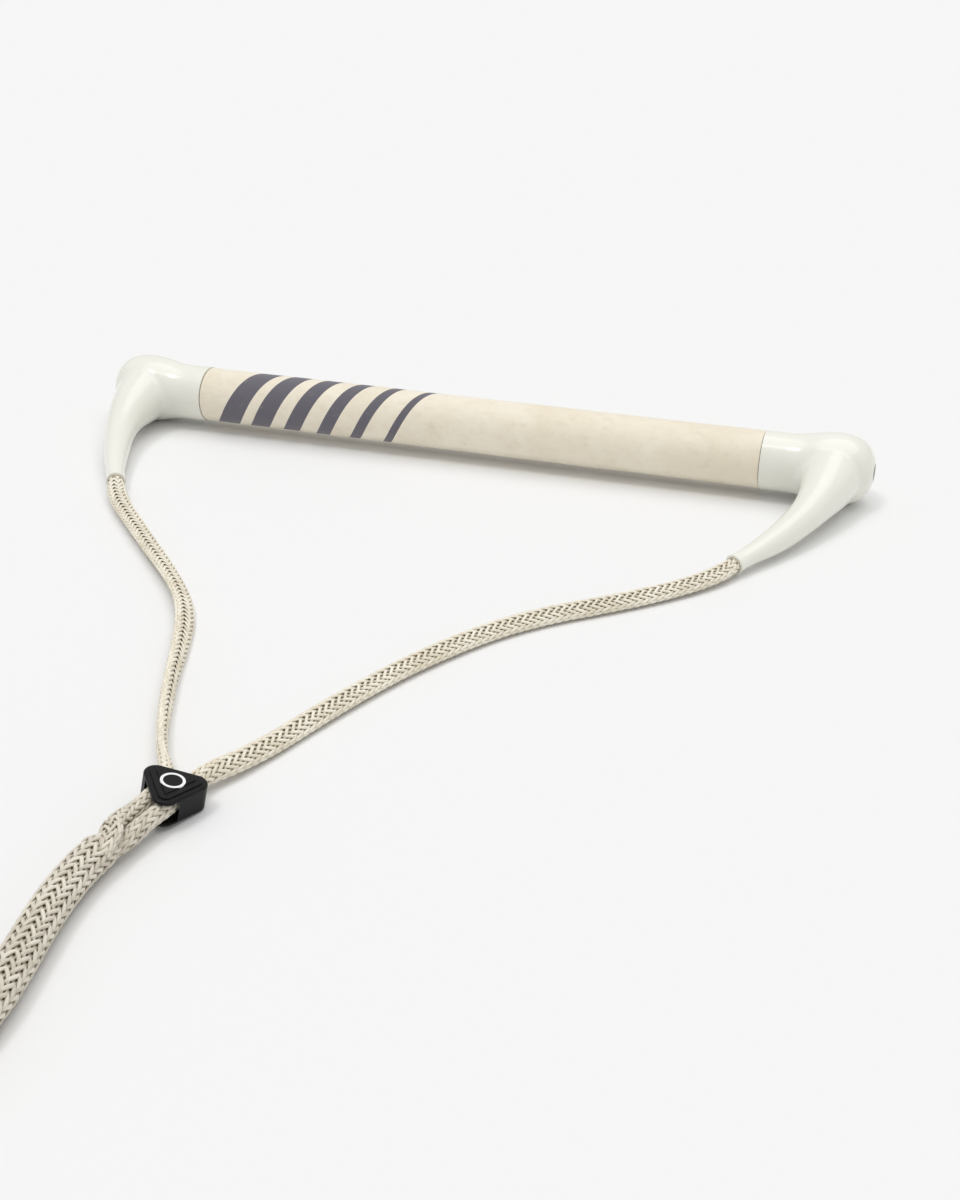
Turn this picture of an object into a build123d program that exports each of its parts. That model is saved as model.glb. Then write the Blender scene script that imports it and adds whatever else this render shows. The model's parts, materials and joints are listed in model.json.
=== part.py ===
from build123d import *
import math
import os

# A wakeboard tow handle: a straight bar with a suede grip, two moulded end caps that lead the
# bridle rope out of the bar, the bridle's two legs lying on the floor, the rubber keeper that
# gathers them, the splice below it, and the tow line put away in a coil that ends in an eye.
#
# Millimetres, +Z up. X runs along the bar, and -Y runs towards the tow line. The handle lies on
# the floor, z = 0, and the origin is under the middle of the handle without its ropes.

# ---- the bar and its grip ------------------------------------------------------------------
grip_length = 279.4       # 11 in of grip between the end caps
tube_dia = 19.05          # 3/4 in aluminium tube
tube_wall = 1.65
foam_wall = 3.0           # foam sleeve over the tube
wrap_wall = 0.75          # suede wrap over the foam
glue_gap = 0.025          # glue line between two sleeves
tube_in_cap = 20.3        # how far the tube reaches into each end cap

# ---- the rope ------------------------------------------------------------------------------
rope_dia = 6.6            # bridle legs, hollow braid
line_dia = 12.2           # tow line, with the legs' tails buried in it
rope_clear = 0.2          # round the rope in the end caps' bores

# ---- end caps ------------------------------------------------------------------------------
rim_gap = 0.3             # between the grip's end and the cap's rim
collar_proud = 0.325      # the collar's outside past the grip's
collar_length = 11.0      # straight part of the collar
bulb_swell = 2.75         # the bulb's outside past the collar's, over the bar's end
bulb_at = 33.4            # from the grip's end to the bulb's widest place
dome_length = 17.4        # from there to the cap's outer end
dome_squareness = 0.66    # 0.55 makes the outer end an ellipse; more makes it flatter
horn_root_inset = 0.9     # the horn's root inside the bulb's outside
horn_tip_wall = 1.0       # round the rope's bore at the horn's tip
crotch_radius = 5.0       # blend between collar and horn
plug_dia = 8.0
plug_length = 9.0
plug_sink = 0.7           # the plug's face below the cap's outer end
plug_edge = 0.4
rope_run_in = 26.0        # where the rope's line leaves the bar's axis, before the bulb
rope_bend_share = 0.62    # the part of that run that the bend takes

horn_stand = 0.6          # the horn's tip above the floor

# the right horn's line from the bulb's middle: inward along X, towards -Y, and its share of the
# way down to the tip
HORN_LINE = [(0.0, 0.0, 0.0), (2.4, 32.0, 0.283), (11.8, 60.5, 0.708), (28.6, 91.9, 1.0)]
# the horn's diameter, as a share of its root's, at shares of its length
HORN_TAPER = [(0.0, 1.0), (0.12, 0.86), (0.25, 0.70), (0.40, 0.535), (0.55, 0.44), (0.75, 0.355)]

# ---- bush and float inside the bar ---------------------------------------------------------
bush_spigot = 10.0
bush_flange = 2.0
bush_ease = 0.7           # round the rope in the bush and the float
bush_flare = 3.0          # radius of the bush's rounded mouth
press_gap = 0.02
float_gap = 0.15

# ---- the keeper on the bridle --------------------------------------------------------------
keeper_side = 28.0        # the triangle's sides, before its corners are rounded
keeper_corner = 4.4
keeper_wall = 1.1         # under the slot and over it
keeper_edge = 0.9         # rounding of the lower and upper outline
keeper_tiers = [(1.9, 0.6), (4.0, 0.4)]   # raised steps on top: in from the outline, and height
keeper_at = (1.9, -278.7)   # the middle of its back side
keeper_yaw = 9.5            # degrees about Z
keeper_roll = 12.0          # degrees, its left side up
keeper_stand = 0.05         # its lowest edge above the floor
# the two legs' inner sides in the keeper, from the middle of its back side
LEFT_IN_KEEPER = [(-1.8, 5.0), (-0.5, -4.5), (-2.6, -13.0), (-9.7, -30.0)]
RIGHT_IN_KEEPER = [(2.7, 5.0), (0.2, -5.0), (-2.3, -14.0), (-8.3, -30.0)]
keeper_travel = 3.0
slot_clear = 0.35           # round the rope in the slot
slot_spare = 0.4            # more room on the side that the ropes lean to, and above them
tier_rounding = 0.6         # a step's edge rounding, as a share of its height
ring_dia = 8.4              # white ring let into the top step
ring_width = 1.0
ring_depth = 0.5
ring_gap = 0.02

# ---- splice, tow line, coil and eye --------------------------------------------------------
splice_dia = 13.0
coil_mid = (-72.5, -441.0)
coil_first_radius = 72.5
coil_edge = 4.0           # rounding of the coil's outer shape
coil_inside = 37.5
tie_width = 16.0
tie_wall = 0.9
tie_clear = 0.1
tie_at = -42.0            # degrees round the coil
tie_tail = 24.0           # the strap's free end, pressed down on top
whip_length = 20.0
whip_wall = 0.8
eye_dia = 6.6

# ---- worked out ----------------------------------------------------------------------------
half_grip = grip_length / 2
bulb_x = half_grip + bulb_at
tube_end = half_grip + tube_in_cap
foam_in = tube_dia + 2 * glue_gap
foam_out = foam_in + 2 * foam_wall
wrap_in = foam_out + 2 * glue_gap
wrap_out = wrap_in + 2 * wrap_wall
collar_dia = wrap_out + 2 * collar_proud
bulb_r = collar_dia / 2 + bulb_swell
horn_root_dia = 2 * (bulb_r - horn_root_inset)
horn_tip_dia = rope_dia + 2 * rope_clear + 2 * horn_tip_wall
bush_bore = rope_dia + 2 * bush_ease
tip_turn = math.atan2(HORN_LINE[-1][0] - HORN_LINE[-2][0], HORN_LINE[-1][1] - HORN_LINE[-2][1])
front_reach = HORN_LINE[-1][1] + horn_tip_dia / 2 * math.sin(tip_turn)
bar_y = (front_reach - bulb_r) / 2      # puts the handle's box evenly about y = 0
bar_z = bulb_r                          # the bulbs stand on the floor
horn_drop = bar_z - horn_tip_dia / 2 - horn_stand
slot_height = rope_dia + 2 * slot_clear + slot_spare
keeper_height = slot_height + 2 * keeper_wall
coil_lift = tie_wall + 2 * tie_clear    # the tie passes under the coil
coil_level = coil_lift + line_dia / 2
coil_outside = coil_first_radius + line_dia / 2

# The two bridle legs after they leave the horns, as they lie. Each point is on the rope's inner
# side in X, which faces the other leg, and on its underside in Z.
LEFT_LEG = [
    (-116.2, -85.5, 0.1), (-96.2, -107.0, 0.1), (-77.2, -127.0, 0.1), (-61.2, -145.5, 0.1),
    (-49.7, -164.0, 0.1), (-40.7, -186.5, 0.1), (-33.2, -208.5, 0.1), (-25.7, -227.5, 0.1),
    (-18.7, -244.5, 0.3), (-10.5, -260.5, 1.7), (-0.7, -274.6, 4.5), (2.2, -283.8, 4.8),
    (1.5, -292.5, 4.9), (-0.2, -301.1, 4.4),
]
RIGHT_LEG = [
    (116.7, -85.5, 0.1), (97.2, -103.0, 0.1), (79.7, -117.5, 0.1), (64.2, -134.5, 0.1),
    (50.7, -155.5, 0.1), (39.2, -177.5, 0.1), (29.7, -200.5, 0.1), (22.2, -221.5, 0.1),
    (15.7, -242.0, 0.2), (9.1, -259.0, 1.3), (3.0, -272.9, 2.8), (2.9, -283.1, 3.1),
    (1.9, -292.4, 3.6), (-0.1, -302.3, 3.9),
]
# The middles of the splice and the tow line.
SPLICE = [(-0.1, -300.9, 7.3), (-1.6, -309.0, 7.0), (-3.2, -318.0, 6.7), (-4.3, -326.5, 6.6)]
TOW_LINE = [
    (-4.3, -326.5, 6.6), (-4.7, -337.5, 6.4), (-3.4, -354.0, 6.3), (0.4, -375.0, 6.3),
    (4.2, -397.0, 6.6), (3.4, -418.0, 7.0), (1.3, -432.0, 7.2),
]
leg_start = 14.0          # the first run, straight out of the horn

# The line's end on top of the coil: turns from the coil's start, radius, and height.
LINE_END = [
    (2.27, 44.5, 11.0), (2.33, 45.5, 16.0), (2.39, 49.0, 19.5), (2.443, 53.3, 20.4), (2.503, 57.6, 20.5),
    (2.563, 60.0, 20.5),
]
# The eye's loop, from the line's end: onward, towards the coil's middle, and up from its end.
EYE = [
    (0.2, 2.5, 0.0), (9.5, 8.5, -1.8), (17.0, 23.5, -3.4), (24.5, 40.5, -3.6), (34.5, 56.1, -3.6),
    (51.8, 57.6, -3.6), (65.1, 46.5, -3.6), (66.6, 29.2, -3.6), (54.0, 14.5, -3.6), (37.0, 4.5, -3.6),
    (19.0, -2.0, -3.0), (8.5, -4.0, -1.2), (0.2, -2.5, 0.0),
]


def on_bar(x, along=0.0, down=0.0):
    """A point given from the bar's axis: x, towards -Y, and down."""
    return (x, bar_y - along, bar_z - down)


def horn_points():
    """The right horn's line."""
    return [on_bar(bulb_x - inward, along, share * horn_drop) for inward, along, share in HORN_LINE]


def leg_points(side, points):
    """A leg's whole route: out of the horn's tip, straight for its first run, then as it lies."""
    before, tip = [Vector(side * p[0], p[1], p[2]) for p in horn_points()[-2:]]
    out = tip + (tip - before).normalized() * leg_start
    lying = [(x + side * rope_dia / 2, y, z + rope_dia / 2) for x, y, z in points]
    return [tuple(tip), tuple(out), *lying]


def round_coil(points):
    """Points given as turns, radius and height, placed round the coil's middle."""
    placed = []
    for turns, radius, height in points:
        angle = -2 * math.pi * turns
        x = coil_mid[0] + radius * math.cos(angle)
        y = coil_mid[1] + radius * math.sin(angle)
        placed.append((x, y, height))
    return placed


def past_line_end(points):
    """Points given from the line's end, placed in its direction."""
    before, end = [Vector(*p) for p in round_coil(LINE_END)[-2:]]
    onward = Vector(end.X - before.X, end.Y - before.Y, 0).normalized()
    inward = Vector(onward.Y, -onward.X, 0)
    return [tuple(end + onward * a + inward * b + Vector(0, 0, c)) for a, b, c in points]


def corner_radii(points):
    """The largest arc that each corner's two runs allow."""
    radii = []
    for a, b, c in zip(points, points[1:], points[2:]):
        before = Vector(*b) - Vector(*a)
        after = Vector(*c) - Vector(*b)
        half_turn = math.radians(before.get_angle(after)) / 2
        radii.append(0.45 * min(before.length, after.length) / math.tan(half_turn))
    return radii


def soft_path(points):
    """Straight runs joined by tangent arcs through a list of points."""
    return FilletPolyline(*points, radius=corner_radii(points))


def round_bar(path, dia):
    """A round bar along a path."""
    return sweep(Plane(origin=path @ 0, z_dir=path % 0) * Circle(dia / 2), path=path)


def rope(name, points, dia):
    """A rope's plain solid. Prints its arcs, and its volume against section times length."""
    path = soft_path(points)
    solid = round_bar(path, dia)
    share = solid.volume / (math.pi * dia ** 2 / 4 * path.length)
    radii = ", ".join(f"{r:.0f}" for r in corner_radii(points))
    print(f"{name}: length {path.length:.1f}, volume share {share:.4f}, radii {radii}")
    return solid


def sleeve(inner, outer, x0, x1):
    """A tube round the bar's axis, from x0 to x1. A bar if inner is 0."""
    ring = Circle(outer / 2) - Circle(inner / 2) if inner else Circle(outer / 2)
    return extrude(Plane(origin=on_bar(x0), z_dir=(1, 0, 0)) * ring, x1 - x0)


def turned(outline):
    """A solid turned round the bar's axis."""
    return Pos(0, bar_y, bar_z) * revolve(make_face(outline), Axis.X)


def mirrored(shape):
    """The left-hand copy of a right-hand piece."""
    return mirror(shape, about=Plane.YZ)


def cap_rope_path():
    """The rope's line in the right cap, from the bar's axis to the horn's tip."""
    points = [on_bar(bulb_x - rope_run_in), *horn_points()]
    first, corner, after = [Vector(*p) for p in points[:3]]
    half_turn = math.radians((corner - first).get_angle(after - corner)) / 2
    bend = rope_bend_share * rope_run_in / math.tan(half_turn)
    return FilletPolyline(*points, radius=[bend, *corner_radii(points)[1:]])


def cap_body():
    """Collar, bulb and flattened dome, turned round the bar's axis."""
    rim = half_grip + rim_gap
    swell = rim + collar_length
    end = bulb_x + dome_length
    collar_r = collar_dia / 2
    reach = 0.45 * (bulb_x - swell)
    return turned([
        Line((rim, 0), (rim, collar_r)),
        Line((rim, collar_r), (swell, collar_r)),
        Bezier((swell, collar_r), (swell + reach, collar_r), (bulb_x - reach, bulb_r), (bulb_x, bulb_r)),
        Bezier((bulb_x, bulb_r), (bulb_x + dome_squareness * dome_length, bulb_r),
               (end, dome_squareness * bulb_r), (end, 0)),
        Line((end, 0), (rim, 0)),
    ])


def horn_body():
    """The horn's outside: circles lofted along its line."""
    path = soft_path(horn_points())
    sections = []
    for share, size in [*HORN_TAPER, (1.0, horn_tip_dia / horn_root_dia)]:
        place = Plane(origin=path @ share, z_dir=path % share)
        sections.append(place * Circle(horn_root_dia * size / 2))
    return loft(sections)


def end_cap():
    """The right cap: body and horn blended, bored for the tube, the rope and the plug."""
    body = cap_body()
    horn = horn_body()
    outer = body + horn
    outer = fillet(new_edges(body, horn, combined=outer), crotch_radius)
    tube_bore = sleeve(0, foam_in, half_grip, tube_end + bush_flange)
    rope_bore = round_bar(cap_rope_path(), rope_dia + 2 * rope_clear)
    plug_bore = sleeve(0, plug_dia, bulb_x, bulb_x + dome_length + 1)
    return outer - tube_bore - rope_bore - plug_bore


def bar_bush():
    """Nylon bush in the tube's right end: spigot, flange and rounded mouth."""
    spigot_r = tube_dia / 2 - tube_wall - press_gap
    flange_r = tube_dia / 2
    bore_r = bush_bore / 2
    start = tube_end - bush_spigot
    end = tube_end + bush_flange
    mouth = JernArc((end, bore_r + bush_flare), (0, -1), bush_flare, -90)
    return turned([
        Line((start, bore_r), (start, spigot_r)),
        Line((start, spigot_r), (tube_end, spigot_r)),
        Line((tube_end, spigot_r), (tube_end, flange_r)),
        Line((tube_end, flange_r), (end, flange_r)),
        Line((end, flange_r), (end, bore_r + bush_flare)),
        mouth,
        Line(mouth @ 1, (start, bore_r)),
    ])


def end_plug():
    """Rubber plug in the right cap's outer end."""
    face = bulb_x + dome_length - plug_sink
    plug = sleeve(0, plug_dia - 2 * press_gap, face - plug_length, face)
    return chamfer(plug.edges().sort_by(Axis.X)[-1], plug_edge)


def bar_rope():
    """The rope inside the bar and the caps, from horn tip to horn tip."""
    start = bulb_x - rope_run_in
    middle = sleeve(0, rope_dia, -start, start)
    half = round_bar(cap_rope_path(), rope_dia)
    return middle + half + mirrored(half)


def rounded_triangle(inset=0.0):
    """The keeper's outline from the middle of its back side, its point towards -Y."""
    depth = keeper_side * math.sqrt(3) / 2
    outline = Polygon((-keeper_side / 2, 0), (0, -depth), (keeper_side / 2, 0), align=None)
    outline = fillet(outline.vertices(), keeper_corner)
    return offset(outline, -inset) if inset else outline


def keeper_middle():
    """The middle of the keeper's outline, from the middle of its back side."""
    return (0, -keeper_side / (2 * math.sqrt(3)))


def keeper_placed(shape):
    """A shape made in the keeper's own frame, turned about the slot's middle and put in place."""
    roll = math.radians(keeper_roll)
    half_width = keeper_side / 2 - keeper_corner * (math.sqrt(3) - 1)
    slot_middle = keeper_height / 2
    level = half_width * math.sin(roll) + slot_middle * math.cos(roll) + keeper_stand
    turn = Rot(0, 0, keeper_yaw) * Rot(0, keeper_roll, 0)
    return Pos(*keeper_at, level) * turn * Pos(0, 0, -slot_middle) * shape


def keeper_slot():
    """What the two legs need inside the keeper, over its travel."""
    wide = rope_dia + slot_clear
    left = [(x - wide - slot_spare, y) for x, y in LEFT_IN_KEEPER]
    right = [(x + wide, y - keeper_travel) for x, y in reversed(RIGHT_IN_KEEPER)]
    outline = Polygon(*left, *right, align=None)
    return Pos(0, 0, keeper_wall) * extrude(outline, slot_height)


def bridle_keeper():
    """The keeper: a rounded triangle with a stepped top and a slot for both legs."""
    body = extrude(rounded_triangle(), keeper_height)
    body = fillet(body.edges().group_by(Axis.Z)[0], keeper_edge)
    body = fillet(body.edges().group_by(Axis.Z)[-1], keeper_edge)
    level = keeper_height
    for inset, height in keeper_tiers:
        step = extrude(rounded_triangle(inset), height)
        step = fillet(step.edges().group_by(Axis.Z)[-1], height * tier_rounding)
        body = body + Pos(0, 0, level) * step
        level += height
    groove = Circle(ring_dia / 2) - Circle(ring_dia / 2 - ring_width)
    groove = Pos(*keeper_middle(), level - ring_depth) * extrude(groove, ring_depth + 1)
    return keeper_placed(body - keeper_slot() - groove)


def keeper_ring():
    """The plain white ring let into the keeper's top."""
    level = keeper_height + sum(height for _, height in keeper_tiers)
    ring = Circle(ring_dia / 2 - ring_gap) - Circle(ring_dia / 2 - ring_width + ring_gap)
    ring = Pos(*keeper_middle(), level - ring_depth) * extrude(ring, ring_depth)
    return keeper_placed(ring)


def coil_bundle():
    """The coil's outer shape: a flat ring with rounded edges."""
    ring = Circle(coil_outside) - Circle(coil_inside)
    ring = Pos(*coil_mid, coil_lift) * extrude(ring, line_dia)
    return fillet(ring.edges(), coil_edge)


def tie_section(spread):
    """The outline round the coil's turns, a given distance off them."""
    wide = coil_outside - coil_inside + 2 * spread
    tall = line_dia + 2 * spread
    middle = ((coil_outside + coil_inside) / 2, coil_level)
    return Pos(*middle) * RectangleRounded(wide, tall, coil_edge + spread)


def coil_tie():
    """Hook-and-loop strap round the coil's turns, with its free end pressed down on top."""
    loop = tie_section(tie_clear + tie_wall) - tie_section(tie_clear)
    tail_level = coil_level + line_dia / 2 + tie_clear + 1.5 * tie_wall
    tail = Pos((coil_outside + coil_inside) / 2, tail_level) * Rectangle(tie_tail, tie_wall)
    section = Plane.XZ * (loop + tail)
    angle = math.degrees(tie_width / coil_outside)
    strap = revolve(section, Axis.Z, revolution_arc=angle)
    return Pos(*coil_mid, 0) * Rot(0, 0, tie_at) * strap


def eye_whipping(path):
    """Whipping twine round the end of the tow line, where its eye begins."""
    end = path @ 1
    along = path % 1
    ring = Circle(line_dia / 2 + whip_wall) - Circle(line_dia / 2 + press_gap)
    return extrude(Plane(origin=end - along * whip_length, z_dir=along) * ring, whip_length)


def build():
    """Every piece by name."""
    cap = end_cap()
    bush = bar_bush()
    plug = end_plug()
    float_end = tube_end - bush_spigot - float_gap
    float_dia = tube_dia - 2 * tube_wall - 2 * float_gap
    line_end = round_coil(LINE_END)
    return {
        "bar_tube": sleeve(tube_dia - 2 * tube_wall, tube_dia, -tube_end, tube_end),
        "float_core": sleeve(bush_bore, float_dia, -float_end, float_end),
        "left_bar_bush": mirrored(bush),
        "right_bar_bush": bush,
        "grip_foam": sleeve(foam_in, foam_out, -half_grip, half_grip),
        "grip_wrap": sleeve(wrap_in, wrap_out, -half_grip, half_grip),
        "left_end_cap": mirrored(cap),
        "right_end_cap": cap,
        "left_end_plug": mirrored(plug),
        "right_end_plug": plug,
        "bar_rope": bar_rope(),
        "left_leg": rope("left_leg", leg_points(-1, LEFT_LEG), rope_dia),
        "right_leg": rope("right_leg", leg_points(1, RIGHT_LEG), rope_dia),
        "bridle_keeper": bridle_keeper(),
        "keeper_ring": keeper_ring(),
        "splice": rope("splice", SPLICE, splice_dia),
        "tow_line": rope("tow_line", TOW_LINE, line_dia),
        "tow_line_coil": coil_bundle(),
        "coil_tie": coil_tie(),
        "tow_line_end": rope("tow_line_end", line_end, line_dia),
        "eye_whipping": eye_whipping(soft_path(line_end)),
        "tow_eye": rope("tow_eye", past_line_end(EYE), eye_dia),
    }


os.makedirs("parts", exist_ok=True)
for name, shape in build().items():
    export_step(shape, f"parts/{name}.step")
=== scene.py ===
"""A wakeboard tow handle lying on a pale floor.

The bar, the end caps, the keeper and the small hard pieces are the CAD solids of the frame, with
materials made here. The ropes are real braids: each of their strands is a tube of its own, led
over and under the others round an oval section, along the same routes as the CAD solids. The
suede wrap, the coil's tie and the whipping are meshes of their own too.

Metres, +Z up, X along the bar, and -Y towards the tow line.
"""
import json
import math

import bmesh
import bpy
import numpy as np
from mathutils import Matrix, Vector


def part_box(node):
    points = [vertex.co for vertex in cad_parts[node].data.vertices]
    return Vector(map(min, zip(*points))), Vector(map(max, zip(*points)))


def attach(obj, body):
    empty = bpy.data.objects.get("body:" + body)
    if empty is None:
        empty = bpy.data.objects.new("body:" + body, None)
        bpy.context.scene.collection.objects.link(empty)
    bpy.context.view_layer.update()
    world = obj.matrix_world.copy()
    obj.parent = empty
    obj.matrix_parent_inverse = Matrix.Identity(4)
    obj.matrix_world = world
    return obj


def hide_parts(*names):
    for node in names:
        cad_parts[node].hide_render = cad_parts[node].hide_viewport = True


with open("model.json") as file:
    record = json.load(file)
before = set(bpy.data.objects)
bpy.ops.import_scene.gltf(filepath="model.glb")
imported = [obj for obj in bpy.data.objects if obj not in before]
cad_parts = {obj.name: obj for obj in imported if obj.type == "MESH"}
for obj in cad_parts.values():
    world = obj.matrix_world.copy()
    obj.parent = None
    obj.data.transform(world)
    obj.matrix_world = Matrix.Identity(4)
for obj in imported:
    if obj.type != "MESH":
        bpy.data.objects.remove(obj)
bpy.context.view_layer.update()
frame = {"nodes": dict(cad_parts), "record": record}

MM = 0.001
UP = np.array([0.0, 0.0, 1.0])
rng = np.random.default_rng(7)

# ---- the camera, at the viewing angle that the handle is shown from ------------------------
CAMERA_AT = (0.24978, -0.71498, 0.32192)
CAMERA_TURN = (63.28, 0.0, 18.14)     # degrees
CAMERA_LENS = 52.74                   # millimetres, as the film's height is
FILM_HEIGHT = 36


def add_camera():
    """The camera at its place and turn, which becomes the scene's."""
    data = bpy.data.cameras.new("camera")
    data.sensor_width = FILM_HEIGHT
    data.lens = CAMERA_LENS
    camera = bpy.data.objects.new("camera", data)
    camera.location = CAMERA_AT
    camera.rotation_euler = [math.radians(a) for a in CAMERA_TURN]
    bpy.context.collection.objects.link(camera)
    bpy.context.scene.camera = camera


add_camera()

# ---- sizes taken from the frame ------------------------------------------------------------
wrap_low, wrap_high = [np.array(corner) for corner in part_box("grip_wrap")]
BAR_Y = (wrap_low[1] + wrap_high[1]) / 2
BAR_Z = (wrap_low[2] + wrap_high[2]) / 2
WRAP_RADIUS = (wrap_high[2] - wrap_low[2]) / 2
WRAP_HALF = (wrap_high[0] - wrap_low[0]) / 2

# ---- the ropes' routes ---------------------------------------------------------------------
LEFT_LEG = [
    (-0.1445, -0.0531, 0.0051), (-0.1379, -0.0654, 0.0038), (-0.1195, -0.0855, 0.0034),
    (-0.0995, -0.1070, 0.0034), (-0.0805, -0.1270, 0.0034), (-0.0645, -0.1455, 0.0034),
    (-0.0530, -0.1640, 0.0034), (-0.0440, -0.1865, 0.0034), (-0.0365, -0.2085, 0.0034),
    (-0.0290, -0.2275, 0.0034), (-0.0220, -0.2445, 0.0036), (-0.0138, -0.2605, 0.0050),
    (-0.0040, -0.2746, 0.0078), (-0.0011, -0.2838, 0.0081), (-0.0018, -0.2925, 0.0082),
    (-0.0035, -0.3011, 0.0077),
]
RIGHT_LEG = [
    (0.1445, -0.0531, 0.0051), (0.1379, -0.0654, 0.0038), (0.1200, -0.0855, 0.0034),
    (0.1005, -0.1030, 0.0034), (0.0830, -0.1175, 0.0034), (0.0675, -0.1345, 0.0034),
    (0.0540, -0.1555, 0.0034), (0.0425, -0.1775, 0.0034), (0.0330, -0.2005, 0.0034),
    (0.0255, -0.2215, 0.0034), (0.0190, -0.2420, 0.0035), (0.0124, -0.2590, 0.0046),
    (0.0063, -0.2729, 0.0061), (0.0062, -0.2831, 0.0064), (0.0052, -0.2924, 0.0069),
    (0.0034, -0.3014, 0.0072),
]
# each leg goes on through the splice: the left one over the right, and both into the line
LEFT_TUCK = [(-0.0042, -0.3070, 0.0086), (-0.0044, -0.3122, 0.0098), (-0.0012, -0.3180, 0.0102),
             (-0.0012, -0.3265, 0.0086)]
RIGHT_TUCK = [(0.0017, -0.3085, 0.0062), (0.0003, -0.3150, 0.0052), (-0.0026, -0.3215, 0.0046),
              (-0.0046, -0.3290, 0.0056)]
# the line's mouth, before the splice's end
LINE_MOUTH = [(-0.0030, -0.3185, 0.0068)]
TOW_LINE = [
    (-0.0043, -0.3265, 0.0066), (-0.0047, -0.3375, 0.0064), (-0.0034, -0.3540, 0.0063),
    (0.0004, -0.3750, 0.0063), (0.0042, -0.3970, 0.0066), (0.0034, -0.4180, 0.0070),
    (0.0013, -0.4320, 0.0072),
]
LINE_DIA = 12.2 * MM
COIL_MID = np.array([-0.0725, -0.4410])
COIL_FIRST_RADIUS = 72.5 * MM
TURN_PITCH = 12.6 * MM
COIL_LEVEL = 7.2 * MM
COIL_START = 0.045          # turns at which the route joins the coil
COIL_FLOOR_END = 2.21       # turns at which the line leaves the floor
COIL_STEPS = 18             # points a turn
# the line's end on top of the coil: turns, radius and height
LINE_END = [
    (2.27, 0.0445, 0.0110), (2.33, 0.0455, 0.0160), (2.39, 0.0490, 0.0195),
    (2.443, 0.0533, 0.0204), (2.503, 0.0576, 0.0205), (2.563, 0.0600, 0.0205),
]
# the eye's loop from the line's end: onward, towards the coil's middle, and up
EYE = [
    (0.0002, 0.0025, 0.0), (0.0095, 0.0085, -0.0018), (0.0170, 0.0235, -0.0034),
    (0.0245, 0.0405, -0.0036), (0.0345, 0.0561, -0.0036), (0.0518, 0.0576, -0.0036),
    (0.0651, 0.0465, -0.0036), (0.0666, 0.0292, -0.0036), (0.0540, 0.0145, -0.0036),
    (0.0370, 0.0045, -0.0036), (0.0190, -0.0020, -0.0030), (0.0085, -0.0040, -0.0012),
    (0.0002, -0.0025, 0.0),
]
WHIP_LENGTH = 20 * MM


def round_coil(turns, radius, height):
    """A point at an angle of so many turns, clockwise, round the coil's middle."""
    angle = -2 * math.pi * turns
    x, y = COIL_MID + radius * np.array([math.cos(angle), math.sin(angle)])
    return (x, y, height)


def coil_route():
    """The coil's turns on the floor: a spiral whose radius loses one pitch a turn."""
    count = round((COIL_FLOOR_END - COIL_START) * COIL_STEPS)
    turns = np.linspace(COIL_START, COIL_FLOOR_END, count + 1)
    return [round_coil(t, COIL_FIRST_RADIUS - TURN_PITCH * t, COIL_LEVEL) for t in turns]


def eye_route(before, end):
    """The eye's points, placed at the line's end and turned into its direction."""
    onward = (end - before) * (1, 1, 0)
    onward /= np.linalg.norm(onward)
    inward = np.array([onward[1], -onward[0], 0])
    return [tuple(end + onward * a + inward * b + UP * c) for a, b, c in EYE]


line_end = [round_coil(*p) for p in LINE_END]
WHOLE_LINE = LINE_MOUTH + TOW_LINE + coil_route() + line_end
EYE_LINE = eye_route(np.array(line_end[-2]), np.array(line_end[-1]))


CURVE_STEPS = 24            # points that Blender makes between two control points


def smooth_line(points, step):
    """Even points, step apart, along the NURBS curve that has the given control points."""
    curve = bpy.data.curves.new("route", "CURVE")
    curve.dimensions = "3D"
    curve.resolution_u = CURVE_STEPS
    spline = curve.splines.new("NURBS")
    spline.points.add(len(points) - 1)
    for point, place in zip(spline.points, points):
        point.co = (*place, 1.0)
    spline.order_u = 3
    spline.use_endpoint_u = True
    holder = bpy.data.objects.new("route", curve)
    mesh = bpy.data.meshes.new_from_object(holder)
    line = np.zeros(len(mesh.vertices) * 3)
    mesh.vertices.foreach_get("co", line)
    line = line.reshape(-1, 3)
    bpy.data.meshes.remove(mesh)
    bpy.data.objects.remove(holder)
    bpy.data.curves.remove(curve)
    return respaced(line, step)


def lengths_along(line):
    """The running sum of the distances between a line's points, from 0."""
    return np.concatenate([[0], np.cumsum(np.linalg.norm(np.diff(line, axis=0), axis=1))])


def length_of(line):
    """The sum of the distances between a line's points."""
    return float(lengths_along(line)[-1])


def respaced(line, step):
    """The same line with its points evenly spaced, about step apart, on its straight chords."""
    far = lengths_along(line)
    even = np.linspace(0, far[-1], max(3, round(far[-1] / step) + 1))
    return np.stack([np.interp(even, far, line[:, i]) for i in range(3)], axis=1)


def frames_along(line):
    """Tangent, level side and upward vectors of a line that never stands upright.

    The side is the tangent crossed with straight up, and the third is the side crossed with the
    tangent.
    """
    tangent = np.gradient(line, axis=0)
    tangent /= np.linalg.norm(tangent, axis=1, keepdims=True)
    side = np.cross(tangent, UP)
    side /= np.linalg.norm(side, axis=1, keepdims=True)
    return tangent, side, np.cross(side, tangent)


def eased(at, table, column):
    """A value along a line, eased by a smoothstep between a table's rows of (share, values)."""
    shares = np.array([row[0] for row in table])
    values = np.array([row[column] for row in table], float)
    i = np.clip(np.searchsorted(shares, at, side="right") - 1, 0, len(shares) - 2)
    t = np.clip((at - shares[i]) / (shares[i + 1] - shares[i]), 0, 1)
    return values[i] + (values[i + 1] - values[i]) * t * t * (3 - 2 * t)


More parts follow.
